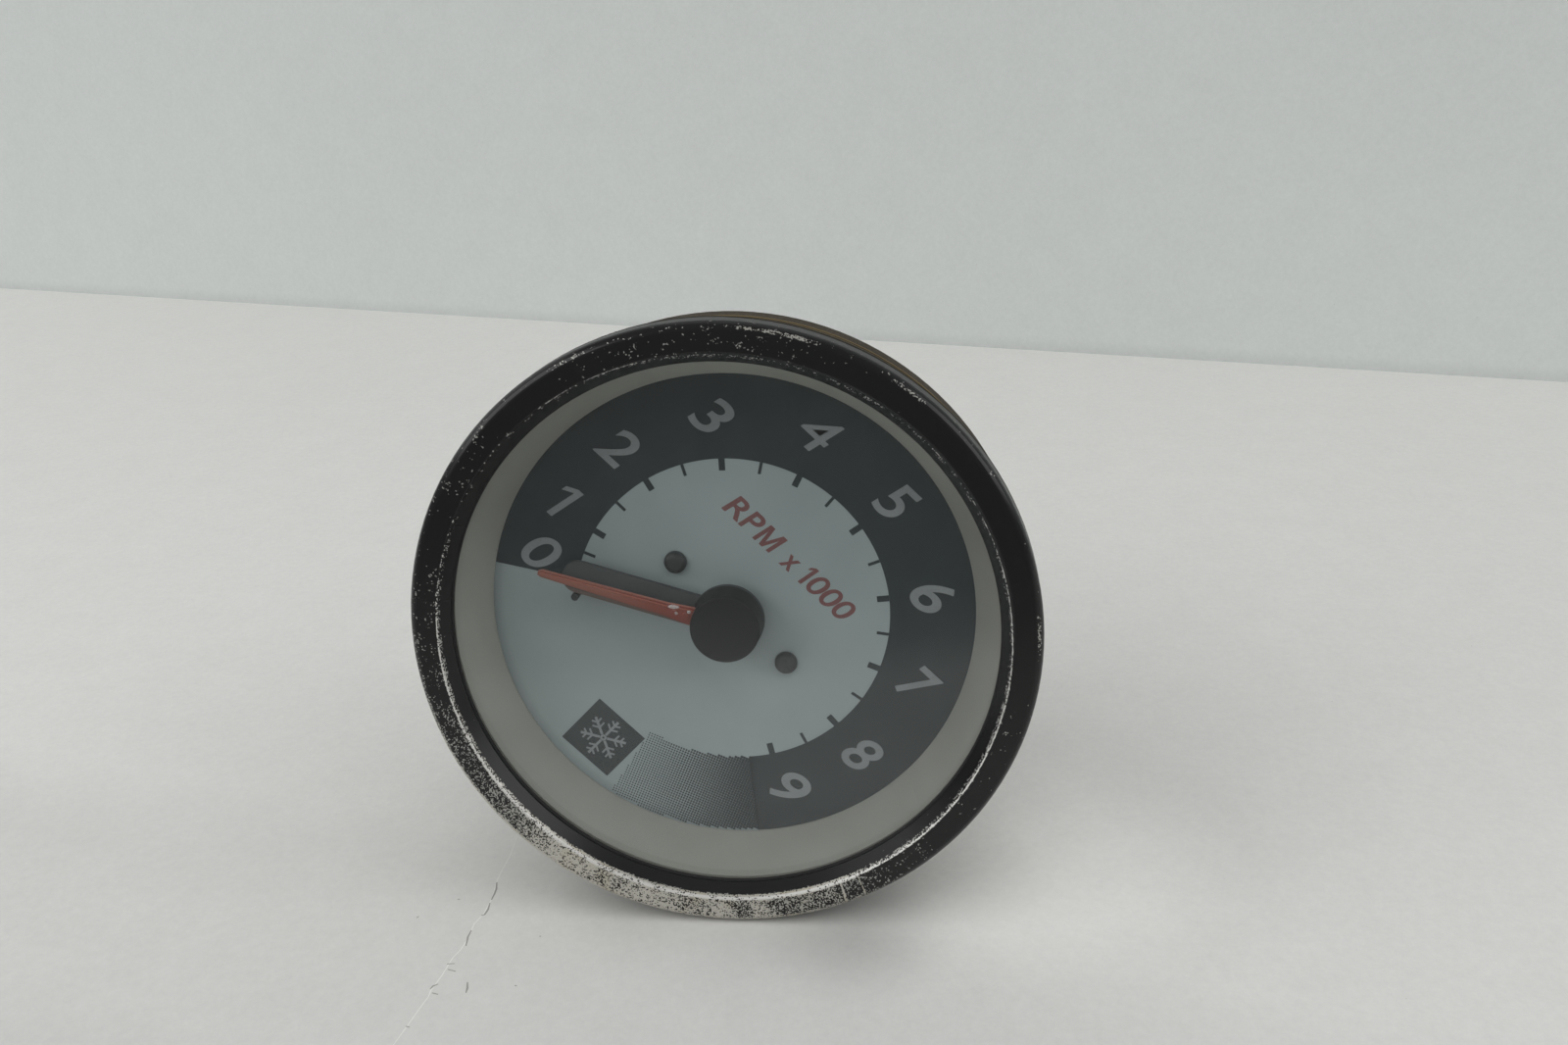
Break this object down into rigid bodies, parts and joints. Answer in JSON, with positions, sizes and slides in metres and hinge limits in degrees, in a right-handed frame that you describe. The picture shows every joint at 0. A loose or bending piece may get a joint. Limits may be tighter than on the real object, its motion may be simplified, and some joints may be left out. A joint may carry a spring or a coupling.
{
  "type": "snowmobile tachometer",
  "caption": "Round panel tachometer with a worn black crimped bezel, glass, conical shade ring, swept red pointer, stepped metal case, rear studs, blade terminals and a twist-lock lamp.",
  "frame": {"origin": "on the gauge axis at the panel seat, the back face of the bezel", "axes": "+Y along the gauge axis into the panel, +Z towards the top of the dial, +X to the dial's right seen from the front"},
  "size_m": [0.088, 0.0593, 0.088],
  "materials": {
    "bezel_paint": "gloss black paint, worn to bare metal",
    "rubber": "matt",
    "glass": "clear, slightly hazy",
    "shade_grey": "satin",
    "dial_white": "satin, printed",
    "black_steel": "satin black",
    "natural_nylon": "satin",
    "enamelled_copper": "enamelled wire",
    "bronze": "machined",
    "soft_iron": "dull plated",
    "tinned_brass": "tin plated",
    "white_plastic": "satin",
    "board_green": "lacquered",
    "zinc_steel": "zinc plated",
    "chip_black": "matt",
    "capacitor_sleeve": "shrink sleeve",
    "resistor_tan": "lacquered",
    "trimmer_blue": "moulded",
    "chromated_steel": "olive-brown chromate over zinc",
    "black_plastic": "satin",
    "pointer_red": "translucent red",
    "magnet": "sintered",
    "bulb_glass": "clear"
  },
  "bodies": {
    "gauge": {"bezel": "bezel_paint", "bezel_gasket": "rubber", "lens": "glass", "shade_ring": "shade_grey", "dial_plate": "dial_white", "dial_pegs": "black_steel", "stop_pin": "black_steel", "bobbin_front": "natural_nylon", "bobbin_rear": "natural_nylon", "coil_inner": "enamelled_copper", "coil_outer": "enamelled_copper", "front_bearing": "bronze", "rear_bearing": "bronze", "shield_band": "soft_iron", "coil_pins": "tinned_brass", "light_box": "white_plastic", "circuit_board": "board_green", "board_screws": "zinc_steel", "driver_chip": "chip_black", "capacitors": "capacitor_sleeve", "resistors": "resistor_tan", "trimmer": "trimmer_blue", "terminal_leads": "enamelled_copper", "case": "chromated_steel", "mounting_studs": "zinc_steel", "terminal_insulator": "black_plastic", "terminal_blades": "tinned_brass"},
    "pointer": {"pointer_blade": "pointer_red", "pointer_carrier": "black_plastic", "pointer_cap": "black_plastic", "pointer_counterweight": "bronze", "spindle": "zinc_steel", "rotor_magnet": "magnet"},
    "lamp": {"lamp_holder": "black_plastic", "lamp_bulb": "bulb_glass", "lamp_contacts": "tinned_brass", "lamp_seal": "rubber"}
  },
  "joints": [
    {"name": "pointer_sweep", "type": "hinge", "parent": "gauge", "child": "pointer", "pos_m": [0, 0, 0], "axis": [0, 1, 0], "range_deg": [0, 254]},
    {"name": "lamp_lock", "type": "hinge", "parent": "gauge", "child": "lamp", "pos_m": [0, 0.0403, 0.0237], "axis": [0, 1, 0], "range_deg": [0, 60]}
  ]
}
